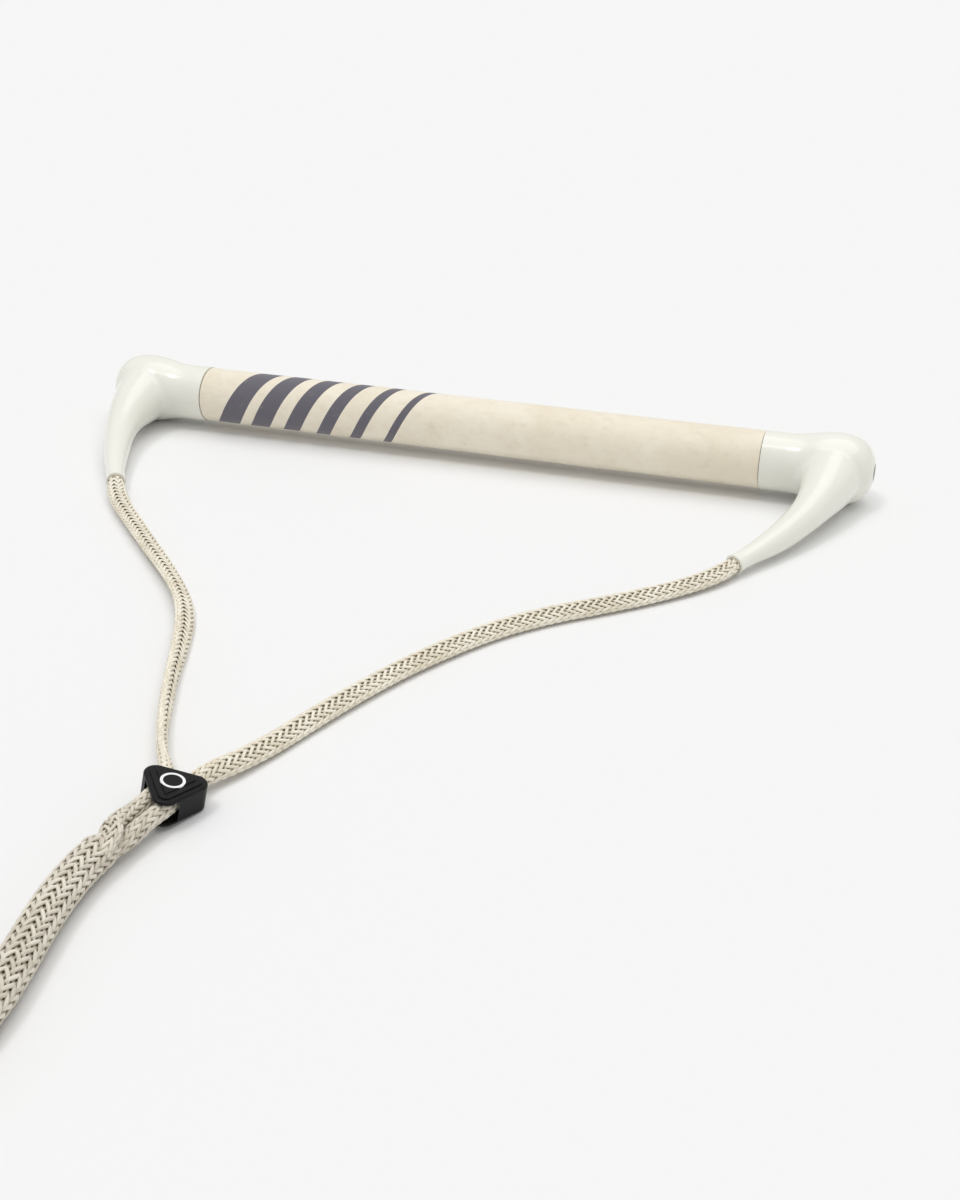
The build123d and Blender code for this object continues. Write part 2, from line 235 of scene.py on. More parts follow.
# ---- meshes --------------------------------------------------------------------------------
def grid_faces(rows, columns, first=0, loop=True):
    """Quads between rows of points. Each row closes on itself if loop."""
    i = np.arange(rows - 1)[:, None]
    j = np.arange(columns if loop else columns - 1)[None, :]
    after = (j + 1) % columns
    quads = np.stack([i * columns + j, i * columns + after, (i + 1) * columns + after,
                      (i + 1) * columns + j], axis=-1)
    return (quads.reshape(-1, 4) + first).tolist()


def end_faces(rows, columns, first=0):
    """The two polygons that close the first and last rows."""
    start = [first + j for j in reversed(range(columns))]
    last = first + (rows - 1) * columns
    return [start, [last + j for j in range(columns)]]


def add_object(name, points, faces, materials, uv=None, values=None, face_material=None):
    """A smooth mesh object. uv is one pair per point, and values are named numbers per point."""
    mesh = bpy.data.meshes.new(name)
    mesh.from_pydata(points.reshape(-1, 3).tolist(), [], faces)
    for material in materials:
        mesh.materials.append(material)
    mesh.polygons.foreach_set("use_smooth", np.ones(len(mesh.polygons), bool))
    if face_material is not None:
        mesh.polygons.foreach_set("material_index", np.asarray(face_material, np.int32))
    if uv is not None:
        corners = np.zeros(len(mesh.loops), np.int32)
        mesh.loops.foreach_get("vertex_index", corners)
        layer = mesh.uv_layers.new(name="surface")
        layer.data.foreach_set("uv", np.asarray(uv, np.float32).reshape(-1, 2)[corners].ravel())
    for label, numbers in (values or {}).items():
        attribute = mesh.attributes.new(label, "FLOAT", "POINT")
        attribute.data.foreach_set("value", np.asarray(numbers, np.float32).ravel())
    mesh.update()
    piece = bpy.data.objects.new(name, mesh)
    bpy.context.collection.objects.link(piece)
    return piece


# ---- braids --------------------------------------------------------------------------------
RING = 5                    # corners of a strand's section
SHADE_SHEET_SIDES = 12             # corners of the section of the dark tube inside a braid, whose colour is painted shade
SWAY = 0.04                 # how far a strand wanders round the section, in radians
SWAY_PERIOD = 1.37          # the length of one such wander, in lays
FLATNESS = 2.0              # how long a strand stays over or under before it changes
STRAND_SHIFT = 37           # millimetres of surface map between two strands' starts
FLOOR_GAP = 0.05 * MM       # the least height of a rope's points
REST_GAP = 0.1 * MM         # under a section that stands on edge


def oval_angle(share, a, b):
    """The ellipse parameter at an evenly spaced share of a turn round an oval.

    It is the turn, less half of the half-axes' difference over their sum times the sine of twice
    the turn.
    """
    turn = 2 * np.pi * share
    return turn - 0.5 * (a - b) / (a + b) * np.sin(2 * turn)


def braid_strands(line, a, b, twist, strands, lay, half_width, half_thick, lift):
    """Points, uv, depth and tone of a hollow braid along a line.

    Half of the strands turn one way and half the other, once round per lay. Round the oval
    section their share of a turn goes up or down evenly with the length. Each strand passes
    over two and then under two of the others: its distance from the section is lift times the
    flattened cosine of a quarter of the strand count times its angle, with opposite signs for
    the two hands. A strand's own section is an ellipse, and narrows at both ends. depth is high
    where a strand is outermost and low in the gaps, and tone is one draw per strand.
    """
    _, side, up = frames_along(line)
    far = lengths_along(line)[:, None]
    a, b, twist = a[:, None], b[:, None], twist[:, None]
    wide = side[:, None] * np.cos(twist)[..., None] + up[:, None] * np.sin(twist)[..., None]
    tall = up[:, None] * np.cos(twist)[..., None] - side[:, None] * np.sin(twist)[..., None]
    half = strands // 2
    hand = np.where(np.arange(strands) < half, 1.0, -1.0)[None]
    first = (np.arange(strands) % half / half)[None]
    share = first + hand * far / lay
    angle = oval_angle(share, a, b)
    wave = np.tanh(FLATNESS * np.cos(half * np.pi * share + np.pi)) / np.tanh(FLATNESS)
    out = hand * wave * lift
    angle = angle + SWAY * np.sin(2 * np.pi * far / (lay * SWAY_PERIOD) + 5 * first + hand)
    cos, sin = np.cos(angle), np.sin(angle)
    normal = wide * (b * cos)[..., None] + tall * (a * sin)[..., None]
    normal /= np.linalg.norm(normal, axis=-1, keepdims=True)
    middle = line[:, None] + wide * (a * cos)[..., None] + tall * (b * sin)[..., None]
    middle = middle + normal * out[..., None]
    along = np.gradient(middle, axis=0)
    along /= np.linalg.norm(along, axis=-1, keepdims=True)
    across = np.cross(along, normal)
    around = (np.arange(RING) / RING - 0.25) * 2 * np.pi
    ends = np.minimum(far, far[-1] - far) / (1.5 * half_width)
    taper = np.sqrt(np.clip(ends + 0.12, 0, 1))
    thick = half_thick * taper
    width = half_width * taper
    points = (middle[:, :, None]
              + across[:, :, None] * (width[..., None] * np.cos(around))[..., None]
              + normal[:, :, None] * (thick[..., None] * np.sin(around))[..., None])
    # depth drives the painted shade: low on a strand's sides and inner face, and where it passes
    # under the others
    depth = out[..., None] / lift + 0.6 * np.sin(around) - 0.7 * np.abs(np.cos(around)) ** 3
    uv = np.stack(np.broadcast_arrays(far[..., None] / MM + STRAND_SHIFT * first[..., None],
                                      around * half_width / MM), axis=-1)
    tone = np.broadcast_to(rng.uniform(0, 1, strands)[None, :, None], points.shape[:3])
    return points.swapaxes(0, 1), uv.swapaxes(0, 1), depth.swapaxes(0, 1), tone.swapaxes(0, 1)


def shade_sheet_points(line, a, b, twist, inset):
    """A plain oval tube inside the braid, inset from its section: a dark sheet whose colour is
    painted shade between the strands.
    """
    _, side, up = frames_along(line)
    around = np.arange(SHADE_SHEET_SIDES) / SHADE_SHEET_SIDES * 2 * np.pi
    wide = side * np.cos(twist)[:, None] + up * np.sin(twist)[:, None]
    tall = up * np.cos(twist)[:, None] - side * np.sin(twist)[:, None]
    return (line[:, None] + wide[:, None] * ((a - inset)[:, None] * np.cos(around))[..., None]
            + tall[:, None] * ((b - inset)[:, None] * np.sin(around))[..., None])


def add_braid(name, line, table, lay, half_width, half_thick, materials, strands, lift):
    """A braided rope as one object: its strands, and a dark tube inside them whose colour is
    painted shade between the strands.

    table's rows are (share of the length, half width, half height, twist in degrees). Where the
    section stands on edge, the rope is raised so that it rests on the same surface.
    """
    share = lengths_along(line) / length_of(line)
    a = eased(share, table, 1) * MM
    b = eased(share, table, 2) * MM
    twist = np.radians(eased(share, table, 3))
    a_mid, b_mid = a - half_thick - lift, b - half_thick - lift
    tall = np.hypot(a * np.sin(twist), b * np.cos(twist))
    centre = line + UP * np.maximum(0, tall + REST_GAP - line[:, 2])[:, None]
    points, uv, depth, tone = braid_strands(centre, a_mid, b_mid, twist, strands, lay,
                                            half_width, half_thick, lift)
    rows = len(line)
    faces = []
    for strand in range(strands):
        first = strand * rows * RING
        faces += grid_faces(rows, RING, first) + end_faces(rows, RING, first)
    outside = len(faces)
    shade_sheet = shade_sheet_points(centre, a_mid, b_mid, twist, 0.5 * half_thick)
    first = strands * rows * RING
    faces += grid_faces(rows, SHADE_SHEET_SIDES, first) + end_faces(rows, SHADE_SHEET_SIDES, first)
    points = np.concatenate([points.reshape(-1, 3), shade_sheet.reshape(-1, 3)])
    points[:, 2] = np.maximum(points[:, 2], FLOOR_GAP)
    extra = rows * SHADE_SHEET_SIDES
    uv = np.concatenate([uv.reshape(-1, 2), np.zeros((extra, 2))])
    depth = np.concatenate([depth.ravel(), np.full(extra, -2.0)])
    tone = np.concatenate([tone.ravel(), np.full(extra, 0.5)])
    index = [0] * outside + [1] * (len(faces) - outside)
    piece = add_object(name, points, faces, materials, uv, {"depth": depth, "tone": tone}, index)
    return piece, centre


# ---- materials -----------------------------------------------------------------------------
class Value:
    """A shader socket that can be added, multiplied and so on, each as a Math node."""

    def __init__(self, shader, socket):
        self.shader = shader
        self.socket = socket

    def math(self, operation, *others):
        """A Math node on this value and the others."""
        return self.shader.node("ShaderNodeMath", (self, *others), operation=operation)

    def __add__(self, other):
        return self.math("ADD", other)

    __radd__ = __add__

    def __sub__(self, other):
        return self.math("SUBTRACT", other)

    def __rsub__(self, other):
        """The other, less this: this times minus one, plus the other."""
        return self * -1.0 + other

    def __mul__(self, other):
        return self.math("MULTIPLY", other)

    __rmul__ = __mul__

    def __truediv__(self, other):
        return self.math("DIVIDE", other)

    def __gt__(self, other):
        return self.math("GREATER_THAN", other)

    def __lt__(self, other):
        return self.math("LESS_THAN", other)

    def part(self, index):
        """One of the three parts of a vector."""
        return self.shader.node("ShaderNodeSeparateXYZ", (self,), output=index)

    def between(self, low, high):
        """0 below low, 1 above high, and a smooth step from one to the other."""
        return self.shader.node("ShaderNodeMapRange", (self, low, high, 0.0, 1.0),
                                interpolation_type="SMOOTHSTEP")


class Shader:
    """A material and its nodes."""

    def __init__(self, name, **constants):
        self.material = bpy.data.materials.new(name)
        self.material.use_nodes = True
        self.tree = self.material.node_tree
        self.bsdf = self.tree.nodes["Principled BSDF"]
        for socket, value in constants.items():
            self.bsdf.inputs[socket.replace("_", " ")].default_value = value

    def node(self, kind, inputs=(), output=0, **settings):
        """A node with its inputs linked or set in order. Names may stand for the inputs."""
        node = self.tree.nodes.new(kind)
        for key, value in settings.items():
            setattr(node, key, value)
        pairs = inputs.items() if isinstance(inputs, dict) else enumerate(inputs)
        for key, value in pairs:
            if isinstance(value, Value):
                self.tree.links.new(value.socket, node.inputs[key])
            else:
                node.inputs[key].default_value = value
        return Value(self, node.outputs[output])

    def place(self, scale=(1, 1, 1)):
        """Object coordinates in metres, scaled."""
        at = self.node("ShaderNodeTexCoord", output="Object")
        return self.node("ShaderNodeVectorMath", (at, scale), operation="MULTIPLY")

    def surface(self, scale=(1, 1, 1)):
        """The mesh's own surface map, in millimetres, scaled."""
        at = self.node("ShaderNodeUVMap", uv_map="surface")
        return self.node("ShaderNodeVectorMath", (at, scale), operation="MULTIPLY")

    def number(self, name):
        """A number that the mesh has at every point."""
        return self.node("ShaderNodeAttribute", output="Fac", attribute_name=name)

    def noise(self, at, scale, detail=3.0, roughness=0.55):
        """Noise from 0 to 1, with so many features a unit of the given place."""
        return self.node("ShaderNodeTexNoise", {"Vector": at, "Scale": scale, "Detail": detail,
                                                "Roughness": roughness})

    def mix(self, share, first, second):
        """A colour between two others."""
        first, second = [c if isinstance(c, Value) else (*c, 1) for c in (first, second)]
        return self.node("ShaderNodeMix", {0: share, 6: first, 7: second}, output=2,
                         data_type="RGBA")

    def bump(self, height, distance, strength, under=None):
        """A normal that tilts with a height, which stands for distance metres at 1."""
        inputs = {"Height": height, "Distance": distance, "Strength": strength}
        if under is not None:
            inputs["Normal"] = under
        return self.node("ShaderNodeBump", inputs)

    def out(self, **sockets):
        """The material, with these values on its shader's sockets."""
        for socket, value in sockets.items():
            self.tree.links.new(value.socket, self.bsdf.inputs[socket.replace("_", " ")])
        return self.material


def linear(red, green, blue):
    """A colour given as 0 to 255 sRGB, as linear light by the sRGB curve."""
    return tuple(((c / 255 + 0.055) / 1.055) ** 2.4 if c > 10 else c / 255 / 12.92
                 for c in (red, green, blue))


def rope_material(name, light, shade, gap_shade, handled=0.0):
    """Braid yarn: fine fibres along each strand, tone by strand, and painted shade in the gaps, on
    each strand's sides and inner face, and where it passes under others.

    Past the keeper the yarn is greyer from handling, by the given share.
    """
    s = Shader(name, Specular_IOR_Level=0.25, Sheen_Weight=0.15)
    fibre = s.noise(s.surface((0.10, 2.6, 1)), 1.0, 2.0)
    stain = s.noise(s.place(), 45.0, 3.0)
    strand = s.number("tone") * 0.35 + fibre * 0.55 + stain * 0.45
    yarn = s.mix(strand.between(0.35, 1.0), shade, light)
    past_keeper = (s.place().part(1) * -1.0).between(0.282, 0.304)
    greyer = s.mix(strand.between(0.35, 1.0), LINE_SHADE, LINE_LIGHT)
    yarn = s.mix(past_keeper * handled, yarn, greyer)
    # painted shade: the yarn darkens to the dark colour between the strands where depth is low
    depth = s.number("depth").between(-1.5, 0.35)
    colour = s.mix(depth, gap_shade, yarn)
    height = fibre + s.noise(s.surface((0.5, 1.2, 1)), 1.0, 2.0) * 0.4
    return s.out(Base_Color=colour, Roughness=fibre * 0.2 + 0.68,
                 Normal=s.bump(height, 0.00016, 0.7))


def shade_sheet_material(name, colour):
    """Painted shade: the dark sheet that shows between a braid's strands, darker still in a fine
    noise.
    """
    s = Shader(name, Roughness=0.95, Specular_IOR_Level=0.1)
    return s.out(Base_Color=s.mix(s.noise(s.place(), 900.0), [c * 0.6 for c in colour], colour))


def suede_material():
    """Napped suede: mottled cream, with a slanting panel of grey printed stripes."""
    s = Shader("suede", Specular_IOR_Level=0.2, Sheen_Weight=0.35, Sheen_Roughness=0.5)
    cloud = s.noise(s.place(), 38.0, 4.0, 0.6)
    patch = s.noise(s.place((1, 1.6, 1.6)), 150.0, 5.0, 0.65)
    grain = s.noise(s.place(), 2600.0, 2.0, 0.7)
    speck = s.noise(s.place(), 700.0, 2.0, 0.5).between(0.66, 0.76)
    cream = s.mix(cloud.between(0.3, 0.7), linear(238, 228, 207), linear(247, 239, 221))
    cream = s.mix(patch.between(0.45, 0.85) * 0.45, cream, linear(218, 201, 179))
    cream = s.mix(speck * 0.25, cream, linear(196, 172, 146))
    at = s.surface()
    x, around = at.part(0), at.part(1)
    worn = grain * 0.35 + patch * 0.4 + 0.42
    colour = s.mix(stripes(x, around) * worn.between(0.45, 0.75), cream, linear(106, 103, 112))
    seam = (around.math("ABSOLUTE") - SEAM_AT).math("ABSOLUTE").between(0.15, 0.6)
    colour = s.mix(seam, [c * 0.35 for c in linear(214, 196, 172)], colour)
    nap = s.bump(patch, 0.0006, 0.25, s.bump(grain, 0.00022, 0.55))
    return s.out(Base_Color=colour, Roughness=grain * 0.15 + 0.78, Normal=nap)


# The printed panel, in millimetres: x along the bar, and round the grip from its top, + to -Y.
PANEL_START = -114.0
PANEL_PITCH = 17.6
PANEL_COUNT = 6
PANEL_SLANT = 0.55
PANEL_LOW = -16.0
PANEL_HIGH = 34.0
SEAM_AT = math.pi * WRAP_RADIUS / MM       # the butt seam, straight under the bar


def stripes(x, around):
    """Six slanting bars, each thinner than the last, cut straight at the panel's two edges."""
    slanted = x - PANEL_START + around * PANEL_SLANT
    step = slanted / PANEL_PITCH
    number = step.math("FLOOR")
    within = step - number
    bar = within < (number * -0.085 + 0.66)
    inside = (number > -0.5) * (number < PANEL_COUNT - 0.5)
    return bar * inside * (around > PANEL_LOW) * (around < PANEL_HIGH)


def cap_material():
    """Glossy off-white moulding with a faint flow mottle and handling haze."""
    s = Shader("cap_plastic", Specular_IOR_Level=0.5, Coat_Weight=0.2, Coat_Roughness=0.15)
    flow = s.noise(s.place((1, 0.5, 1)), 30.0, 3.0)
    haze = s.noise(s.place(), 90.0, 5.0, 0.7)
    ripple = s.noise(s.place(), 120.0, 2.0)
    colour = s.mix(flow.between(0.3, 0.7), linear(238, 237, 226), linear(243, 242, 233))
    rough = haze.between(0.35, 0.8) * 0.12 + 0.16
    return s.out(Base_Color=colour, Roughness=rough, Normal=s.bump(ripple, 0.00006, 0.4))


def rubber_material(name, dark, lighter, rough):
    """Moulded rubber: near black, a little dusty, with a fine stipple."""
    s = Shader(name, Specular_IOR_Level=0.2)
    dust = s.noise(s.place(), 260.0, 5.0, 0.7)
    stipple = s.noise(s.place(), 3200.0, 1.0)
    colour = s.mix(dust.between(0.4, 0.8), dark, lighter)
    return s.out(Base_Color=colour, Roughness=dust * 0.2 + rough,
                 Normal=s.bump(stipple, 0.00006, 0.6))


def plain_material(name, first, second, scale, rough, bump, stretch=(1, 1, 1), metallic=0.0):
    """Two close colours in a noise, with the same noise in its roughness and bump."""
    s = Shader(name, Metallic=metallic)
    grain = s.noise(s.place(stretch), scale, 4.0)
    return s.out(Base_Color=s.mix(grain.between(0.3, 0.7), first, second),
                 Roughness=grain * 0.2 + rough, Normal=s.bump(grain, bump, 0.6))


def webbing_material():
    """Black hook-and-loop strap: crossed ribs and a loop pile."""
    s = Shader("tie_webbing", Specular_IOR_Level=0.2, Sheen_Weight=0.2)
    pile = s.noise(s.place(), 1900.0, 3.0, 0.7)
    rib = (s.surface().part(1) * 6.3).math("SINE") * 0.5 + 0.5
    colour = s.mix(pile.between(0.35, 0.75), (0.008, 0.008, 0.009), (0.05, 0.05, 0.053))
    return s.out(Base_Color=colour, Roughness=pile * 0.1 + 0.85,
                 Normal=s.bump(pile + rib * 0.6, 0.0004, 0.8))


def twine_material():
    """Dark waxed twine: fibres along each turn."""
    s = Shader("whipping_twine", Specular_IOR_Level=0.35)
    fibre = s.noise(s.surface((0.3, 6.0, 1)), 1.0, 2.0)
    return s.out(Base_Color=s.mix(fibre, (0.010, 0.010, 0.012), (0.040, 0.040, 0.046)),
                 Roughness=fibre * 0.2 + 0.5, Normal=s.bump(fibre, 0.00008, 0.7))


ROPE_LIGHT = linear(252, 247, 232)
ROPE_SHADE = linear(230, 220, 198)
LINE_LIGHT = linear(237, 231, 217)
LINE_SHADE = linear(204, 196, 179)
# painted shade between the strands and on their sides
ROPE_GAP_SHADE = linear(126, 115, 94)
LINE_GAP_SHADE = linear(144, 135, 114)

bridle_yarn = rope_material("bridle_rope", ROPE_LIGHT, ROPE_SHADE, ROPE_GAP_SHADE, handled=1.0)
line_yarn = rope_material("tow_rope", LINE_LIGHT, LINE_SHADE, LINE_GAP_SHADE)
# a dark sheet inside each braid: painted shade that shows between the strands
painted_shade_sheet = shade_sheet_material("rope_shade_sheet", linear(134, 124, 102))
cad_materials = {
    "cap_plastic": cap_material(),
    "keeper_rubber": rubber_material("keeper_rubber", (0.004, 0.004, 0.0045),
                                     (0.012, 0.0115, 0.013), 0.36),
    "plug_rubber": rubber_material("plug_rubber", (0.012, 0.012, 0.012), (0.03, 0.03, 0.03), 0.6),
    "ring_white": plain_material("ring_white", linear(238, 238, 236), linear(250, 250, 250),
                                 900.0, 0.3, 0.00002),
    "tube_metal": plain_material("tube_metal", linear(176, 178, 182), linear(206, 208, 212),
                                 300.0, 0.25, 0.00003, (0.08, 1, 1), 1.0),
    "bush_nylon": plain_material("bush_nylon", linear(222, 218, 204), linear(234, 231, 220),
                                 500.0, 0.4, 0.00003),
    "closed_cell_foam": plain_material("closed_cell_foam", (0.10, 0.10, 0.105), (0.18, 0.18, 0.19),
                                       1800.0, 0.75, 0.0003),
    "grip_foam": plain_material("grip_foam", (0.05, 0.05, 0.052), (0.09, 0.09, 0.095),
                                2200.0, 0.8, 0.0003),
    "bridle_rope": plain_material("hidden_rope", ROPE_SHADE, ROPE_LIGHT, 900.0, 0.8, 0.0003),
}


def dress_cad_nodes():
    """Gives every CAD node that stays the material of its slot."""
    slots = {part["node"]: part["material_slot"] for part in frame["record"]["subparts"]}
    for node, piece in frame["nodes"].items():
        material = cad_materials.get(slots[node])
        if material is None:
            continue
        for slot in piece.material_slots:
            slot.material = material


# ---- the ropes -----------------------------------------------------------------------------
ROPE_STEP = 1.0 * MM
LEG_LAY = 42 * MM
LEG_STRAND = 0.66 * MM      # half of a strand's width
EYE_LAY = 38 * MM
EYE_STRAND = 0.62 * MM
LINE_NEAR = 104             # points of the line that stay a step apart; then every second one

# Share of the length, half width, half height (mm), twist (degrees). The legs are narrow and on
# edge from 0.835 to 0.915, where they pass through the keeper.
LEFT_TABLE = [(0.0, 3.5, 3.3, 0), (0.027, 4.3, 2.7, 0), (0.2, 4.4, 2.5, 12),
              (0.42, 4.4, 2.4, 35), (0.64, 4.2, 2.2, 75), (0.78, 3.8, 2.1, 88),
              (0.84, 3.4, 2.7, 90), (0.915, 3.4, 3.0, 90), (0.935, 4.3, 3.3, 115),
              (0.97, 4.4, 2.9, 160), (1.0, 3.6, 2.5, 180)]
RIGHT_TABLE = [(0.0, 3.5, 3.3, 0), (0.027, 4.4, 2.8, 10), (0.275, 4.4, 2.7, 20),
               (0.55, 4.4, 2.8, 12), (0.77, 4.3, 2.9, 25), (0.835, 3.4, 3.1, 70),
               (0.87, 3.4, 3.0, 90), (0.915, 3.4, 3.0, 90), (0.935, 4.3, 3.3, 115),
               (0.97, 4.4, 2.9, 150), (1.0, 3.6, 2.5, 180)]
LINE_TABLE = [(0.0, 5.6, 5.1, 0), (0.004, 6.4, 5.9, 0), (0.05, 6.4, 5.9, 0), (0.15, 6.2, 5.9, 0),
              (1.0, 6.1, 6.0, 0)]
EYE_TABLE = [(0.0, 3.2, 3.2, 0), (0.1, 3.6, 3.0, 0), (0.9, 3.6, 3.0, 0), (1.0, 3.2, 3.2, 0)]


def add_bridle_rope(name, points, table, lay, half_width, replaced):
    """A leg or the eye: the bridle's braid of 24 strands along a route."""
    line = smooth_line(points, ROPE_STEP)
    piece, centre = add_braid(name, line, table, lay, half_width, half_thick=0.46 * MM,
                              materials=[bridle_yarn, painted_shade_sheet], strands=24, lift=0.34 * MM)
    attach(piece, "handle")
    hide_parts(replaced)
    return piece, centre


left_leg, left_centre = add_bridle_rope("left_leg_braid", LEFT_LEG + LEFT_TUCK, LEFT_TABLE,
                                        LEG_LAY, LEG_STRAND, "left_leg")
right_leg, right_centre = add_bridle_rope("right_leg_braid", RIGHT_LEG + RIGHT_TUCK, RIGHT_TABLE,
                                          LEG_LAY, LEG_STRAND, "right_leg")


def add_line():
    """The tow line: from the splice, over the floor, round the coil and up onto it."""
    line = smooth_line(WHOLE_LINE, ROPE_STEP)
    line = np.concatenate([line[:LINE_NEAR], line[LINE_NEAR:-1:2], line[-1:]])
    piece, centre = add_braid("tow_line_braid", line, LINE_TABLE, lay=62 * MM,
                              half_width=0.74 * MM, half_thick=0.56 * MM,
                              materials=[line_yarn, painted_shade_sheet], strands=32, lift=0.46 * MM)
    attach(piece, "handle")
    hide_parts("splice", "tow_line", "tow_line_coil", "tow_line_end")
    return piece, centre


tow_line, line_centre = add_line()


tow_eye, eye_centre = add_bridle_rope("tow_eye_braid", EYE_LINE, EYE_TABLE, EYE_LAY,
                                      EYE_STRAND, "tow_eye")


# ---- the whipping --------------------------------------------------------------------------
WHIP_TURNS = 15
WHIP_STEPS = 40             # points a turn
TWINE_SIDES = 8
TWINE_SQUEEZE = 1.04        # the twine's thickness, in pitches, so that the turns close up
WHIP_PROUD = 0.2 * MM       # the twine's middle past the line's own radius


def add_whipping():
    """Twine wound round the line's end: a helix whose own section is a circle."""
    far = lengths_along(line_centre)
    steps = WHIP_TURNS * WHIP_STEPS
    at = np.linspace(far[-1] - WHIP_LENGTH, far[-1], steps)
    line = np.stack([np.interp(at, far, line_centre[:, i]) for i in range(3)], axis=1)
    _, side, up = frames_along(line)
    angle = np.linspace(0, WHIP_TURNS * 2 * np.pi, steps)
    thick = WHIP_LENGTH / WHIP_TURNS / 2 * TWINE_SQUEEZE
    out = side * np.cos(angle)[:, None] + up * np.sin(angle)[:, None]
    middle = line + out * (LINE_DIA / 2 + WHIP_PROUD)
    along = np.gradient(line, axis=0)
    along /= np.linalg.norm(along, axis=1, keepdims=True)
    around = np.arange(TWINE_SIDES) / TWINE_SIDES * 2 * np.pi
    points = (middle[:, None] + out[:, None] * (thick * np.cos(around))[:, None]
              + along[:, None] * (thick * np.sin(around))[:, None])
    turn = angle * LINE_DIA / 2 / MM
    uv = np.stack(np.broadcast_arrays(turn[:, None], around * thick / MM), axis=-1)
    faces = grid_faces(steps, TWINE_SIDES) + end_faces(steps, TWINE_SIDES)
    faces = [face[::-1] for face in faces]
    piece = add_object("eye_whipping_turns", points, faces, [twine_material()], uv)
    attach(piece, "handle")
    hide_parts("eye_whipping")
    return piece


whipping = add_whipping()

# ---- the coil's tie ------------------------------------------------------------------------
TIE_MID = 58.05 * MM          # the strap's loop, from the coil's middle, and its height
TIE_LEVEL = 7.2 * MM
TIE_WIDE = 41.3 * MM          # the room inside the loop
TIE_TALL = 12.4 * MM
TIE_CORNER = 4.1 * MM
TIE_WALL = 0.9 * MM
TIE_WIDTH = 12.0 * MM
TIE_AT = math.radians(-36.2)
TIE_TAIL = 24.0 * MM
TIE_STEP = 0.8 * MM           # between two rows of the strap
TIE_COLUMNS = 15              # across one of its faces
TIE_LAP = 0.05 * MM           # between the strap's free end and its start
TIE_RISE = 8                  # rows over which the free end climbs onto the start


def rounded_loop(step):
    """Points and outward directions round a rounded rectangle, from the middle of its top.

    The side that a direction points at gives the corner's middle, and the point is that middle
    plus the corner's radius along the direction; the straight sides join the corners.
    """
    turn = np.linspace(0, 2 * np.pi, 97)
    out = np.stack([np.sin(turn), np.cos(turn)], axis=1)
    half = np.array([TIE_WIDE / 2 - TIE_CORNER, TIE_TALL / 2 - TIE_CORNER])
    signs = np.where(np.abs(out) < 1e-9, 0.0, np.sign(out))
    corners = signs * half + out * TIE_CORNER
    far = lengths_along(corners)
    at = np.arange(0, far[-1], step)
    loop = np.stack([np.interp(at, far, corners[:, i]) for i in range(2)], axis=1)
    facing = np.stack([np.interp(at, far, out[:, i]) for i in range(2)], axis=1)
    return loop, facing / np.linalg.norm(facing, axis=1, keepdims=True)


def add_tie():
    """Hook-and-loop strap: once round the coil's turns, then its free end over its own start.

    The strip follows the loop. Past a full turn its distance from the loop rises by a wall's
    thickness along a smooth step. Its width is an arc about the coil's middle, as long at any
    radius, and its edges are rounded.
    """
    loop, facing = rounded_loop(TIE_STEP)
    tail = int(TIE_TAIL / 2 / TIE_STEP)
    rows = len(loop) + 2 * tail
    order = (np.arange(rows) - tail) % len(loop)
    past = np.clip((np.arange(rows) - len(loop) + TIE_RISE / 2) / TIE_RISE, 0, 1)
    lift = past * past * (3 - 2 * past) * (TIE_WALL + TIE_LAP)
    across = np.linspace(-1, 1, TIE_COLUMNS)
    edge = np.sqrt(1 - 0.75 * across ** 8)
    side = np.concatenate([across, across[::-1]])
    wall = np.concatenate([0.5 - 0.5 * edge, (0.5 + 0.5 * edge)[::-1]]) * TIE_WALL
    out = lift[:, None] + wall[None]
    flat = loop[order][:, None] + facing[order][:, None] * out[..., None]
    radius, height = flat[..., 0] + TIE_MID, flat[..., 1] + TIE_LEVEL
    end = np.minimum(np.arange(rows), np.arange(rows)[::-1]) / 4
    narrow = np.sqrt(np.clip(1 - 0.22 * np.clip(1 - end, 0, 1) ** 2, 0, 1))
    angle = TIE_AT + TIE_WIDTH / 2 / radius * side[None] * narrow[:, None]
    points = np.stack([COIL_MID[0] + radius * np.cos(angle), COIL_MID[1] + radius * np.sin(angle),
                       np.maximum(height, REST_GAP)], axis=-1)
    along = np.arange(rows)[:, None] * TIE_STEP / MM
    uv = np.stack(np.broadcast_arrays(along, side * 8.0), axis=-1)
    columns = len(side)
    faces = grid_faces(rows, columns) + end_faces(rows, columns)
    piece = add_object("coil_strap", points, faces, [webbing_material()], uv)
    outward(piece)
    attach(piece, "handle")
    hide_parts("coil_tie")
    return piece


def outward(piece):
    """Joins points that lie on each other and points every face outwards."""
    work = bmesh.new()
    work.from_mesh(piece.data)
    bmesh.ops.remove_doubles(work, verts=work.verts, dist=1e-6)
    bmesh.ops.recalc_face_normals(work, faces=work.faces)
    work.to_mesh(piece.data)
    work.free()


tie = add_tie()


# ---- the grip ------------------------------------------------------------------------------
GRIP_EDGE = 0.5 * MM        # radius of the suede's turned-in ends
GRIP_ROWS = 221
GRIP_COLUMNS = 145
SEAM_DEPTH = 0.22 * MM
SEAM_SPREAD = 0.5           # millimetres
SWELL = 0.04 * MM
GRIP_INSET = 0.08 * MM      # keeps the swell inside the wrap's own radius
LINING_INSET = 0.7 * MM


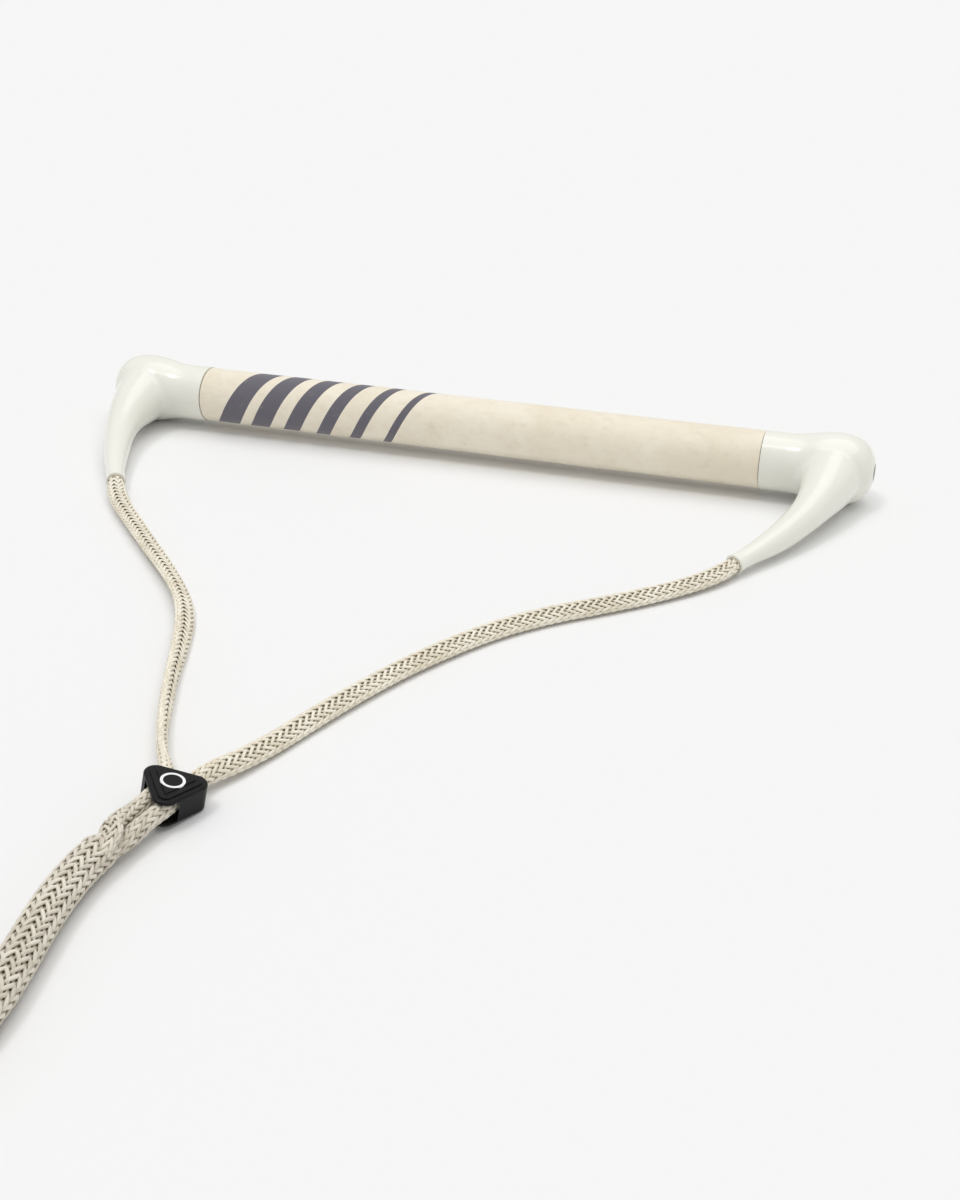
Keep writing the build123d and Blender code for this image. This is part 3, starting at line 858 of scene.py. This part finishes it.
def add_grip():
    """The suede wrap: a sleeve whose ends turn in to the foam, with a butt seam underneath.

    Its radius is the grip's, less a quarter circle at each end, less a narrow dip at the seam,
    plus a few hundredths of a millimetre of slow swell.
    """
    inset = np.linspace(0, 1, 7)
    straight = WRAP_HALF - GRIP_EDGE
    end_x = straight + GRIP_EDGE * np.sin(inset * np.pi / 2)
    end_drop = GRIP_EDGE * (1 - np.cos(inset * np.pi / 2))
    x = np.concatenate([-end_x[::-1], np.linspace(-straight, straight, GRIP_ROWS)[1:-1], end_x])
    drop = np.concatenate([end_drop[::-1], np.zeros(GRIP_ROWS - 2), end_drop])
    angle = np.linspace(-np.pi, np.pi, GRIP_COLUMNS)
    arc = angle * WRAP_RADIUS / MM
    seam = SEAM_DEPTH * np.exp(-((np.abs(arc) - SEAM_AT) / SEAM_SPREAD) ** 2)
    swell = SWELL * (np.sin(x[:, None] * 61 + 2 * angle)
                     + np.sin(x[:, None] * 143 - 3 * angle + 1))
    radius = WRAP_RADIUS - drop[:, None] - seam[None] + swell - GRIP_INSET
    lining = np.full((2, GRIP_COLUMNS), WRAP_RADIUS - LINING_INSET)
    radius = np.concatenate([radius, lining, radius[:1]])
    places = np.concatenate([x, [WRAP_HALF, -WRAP_HALF], x[:1]])[:, None]
    points = np.stack(np.broadcast_arrays(
        places, BAR_Y - radius * np.sin(angle), BAR_Z + radius * np.cos(angle)), axis=-1)
    uv = np.stack(np.broadcast_arrays(places / MM, arc), axis=-1)
    faces = [face[::-1] for face in grid_faces(len(points), GRIP_COLUMNS, loop=False)]
    piece = add_object("grip_suede", points, faces, [suede_material()], uv)
    outward(piece)
    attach(piece, "handle")
    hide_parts("grip_wrap")
    return piece


grip = add_grip()
dress_cad_nodes()


# ---- floor and light -----------------------------------------------------------------------
FLOOR_REACH = 15.0
FLOOR_TONE = 0.862
SKY_LEVEL = 0.58


def add_floor():
    """A square pale floor, dull all over."""
    far = FLOOR_REACH
    corners = [(-far, -far, 0), (far, -far, 0), (far, far, 0), (-far, far, 0)]
    mesh = bpy.data.meshes.new("floor")
    mesh.from_pydata(corners, [], [(0, 1, 2, 3)])
    floor = bpy.data.objects.new("floor", mesh)
    bpy.context.collection.objects.link(floor)
    s = Shader("floor", Roughness=1.0, Specular_IOR_Level=0.0)
    s.bsdf.inputs["Base Color"].default_value = (FLOOR_TONE, FLOOR_TONE, FLOOR_TONE, 1)
    mesh.materials.append(s.material)


def add_sun(name, strength, spread, tilt, turn):
    """A wide, even light from a long way off. Its spread is the angle that it fills in the sky."""
    data = bpy.data.lights.new(name, "SUN")
    data.energy = strength
    data.angle = math.radians(spread)
    light = bpy.data.objects.new(name, data)
    light.rotation_euler = (math.radians(tilt), 0, math.radians(turn))
    bpy.context.collection.objects.link(light)


def add_world(level):
    """An even white sky of the given strength."""
    world = bpy.data.worlds.new("world")
    world.use_nodes = True
    world.node_tree.nodes["Background"].inputs[0].default_value = (1, 1, 1, 1)
    world.node_tree.nodes["Background"].inputs[1].default_value = level
    bpy.context.scene.world = world


add_floor()
add_world(SKY_LEVEL)
add_sun("key", 0.45, 12, 20, -50)
add_sun("over", 1.15, 60, 10, 150)
bpy.context.scene.view_settings.view_transform = "Standard"
